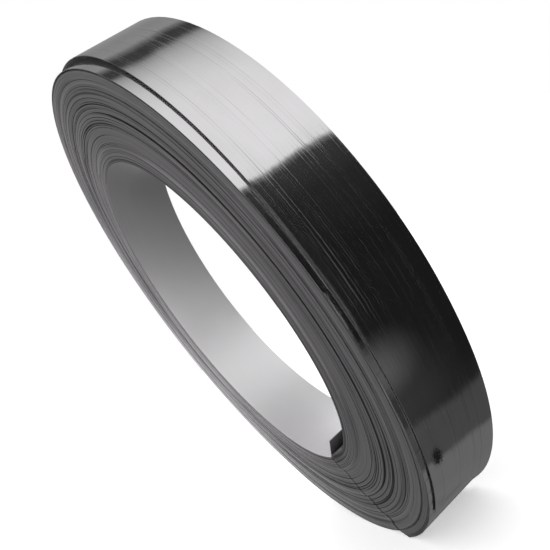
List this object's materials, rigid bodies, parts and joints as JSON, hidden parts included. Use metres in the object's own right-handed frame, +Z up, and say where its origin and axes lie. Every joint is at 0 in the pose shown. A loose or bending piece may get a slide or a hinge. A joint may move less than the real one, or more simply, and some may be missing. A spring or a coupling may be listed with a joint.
{
  "type": "steel strip coil",
  "caption": "Wound coil of narrow bright steel strip with an open bore, a bent inner end and a loose last wrap.",
  "frame": {"origin": "bottom centre of the bounding box, on the floor under the roll", "axes": "+Y along the bore axis, away from the end that stands proud of the loose last wrap; +Z up, the roll standing on its rim where it comes to rest, against the lip of its bulged outer turns"},
  "size_m": [0.4542, 0.07, 0.457],
  "materials": {
    "bright_strip_steel": "bright cold-rolled, with fine lines along the strip"
  },
  "bodies": {
    "root": {"strip_coil": "bright_strip_steel"}
  },
  "joints": []
}
